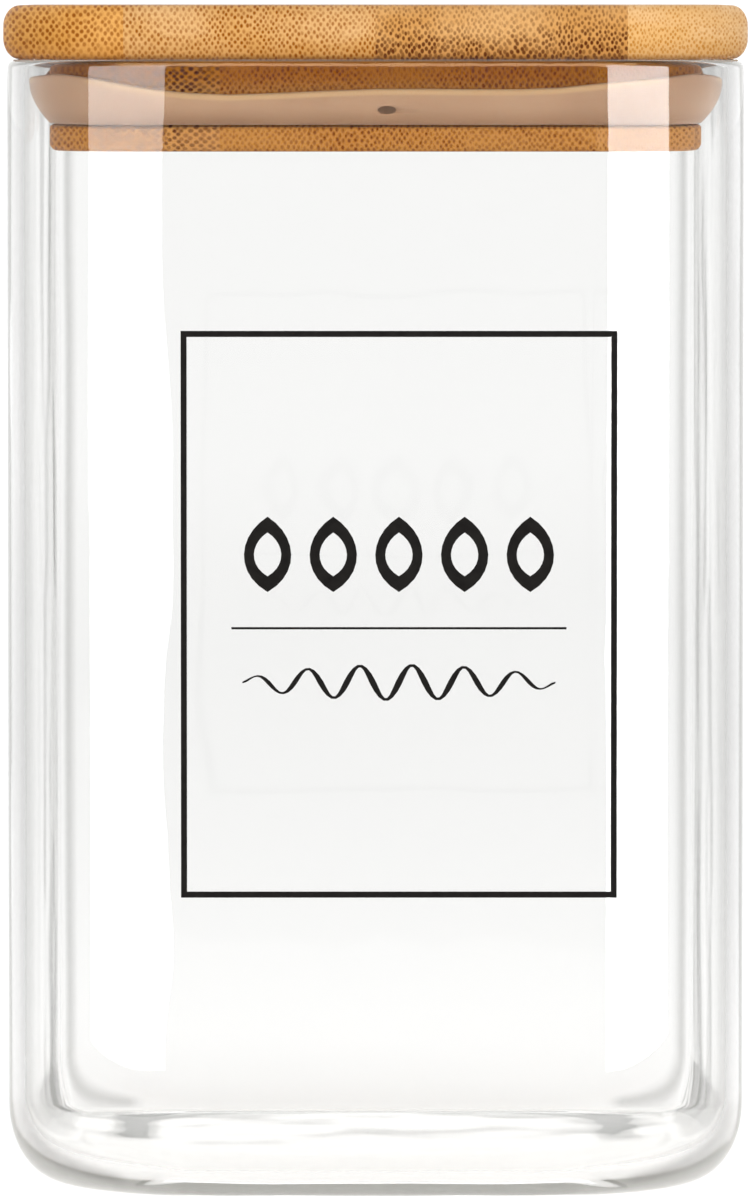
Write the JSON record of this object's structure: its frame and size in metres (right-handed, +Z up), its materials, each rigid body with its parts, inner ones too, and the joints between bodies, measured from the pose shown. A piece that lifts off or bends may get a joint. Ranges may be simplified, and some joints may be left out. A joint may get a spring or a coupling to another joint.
{
  "type": "lidded glass canister",
  "caption": "Square glass storage canister with rounded corners and heel, closed by a laminated bamboo lid whose plug carries a flared silicone seal.",
  "frame": {"origin": "centre of the underside, on the surface that the canister stands on", "axes": "+Z up through the lid; the printed face looks along -Y; the lid's grain runs along Y"},
  "size_m": [0.0996, 0.0996, 0.159],
  "materials": {
    "jar_glass": "clear, fire-polished",
    "lid_bamboo": "sanded and lightly oiled",
    "plug_bamboo": "sanded and lightly oiled",
    "seal_silicone": "matte translucent",
    "print_enamel": "fired black enamel"
  },
  "bodies": {
    "jar": {"glass_jar": "jar_glass", "print_frame": "print_enamel", "print_grain_1": "print_enamel", "print_grain_2": "print_enamel", "print_grain_3": "print_enamel", "print_grain_4": "print_enamel", "print_grain_5": "print_enamel", "print_rule": "print_enamel", "print_wave": "print_enamel"},
    "lid": {"lid_strip_1": "lid_bamboo", "lid_strip_2": "lid_bamboo", "lid_strip_3": "lid_bamboo", "lid_strip_4": "lid_bamboo", "lid_strip_5": "lid_bamboo", "lid_strip_6": "lid_bamboo", "plug_strip_1": "plug_bamboo", "plug_strip_2": "plug_bamboo", "plug_strip_3": "plug_bamboo", "plug_strip_4": "plug_bamboo", "plug_strip_5": "plug_bamboo", "plug_strip_6": "plug_bamboo", "seal_ring": "seal_silicone"}
  },
  "joints": [
    {"name": "lid_lift", "type": "slide", "parent": "jar", "child": "lid", "axis": [0, 0, 1], "range_m": [0, 0.06]}
  ]
}
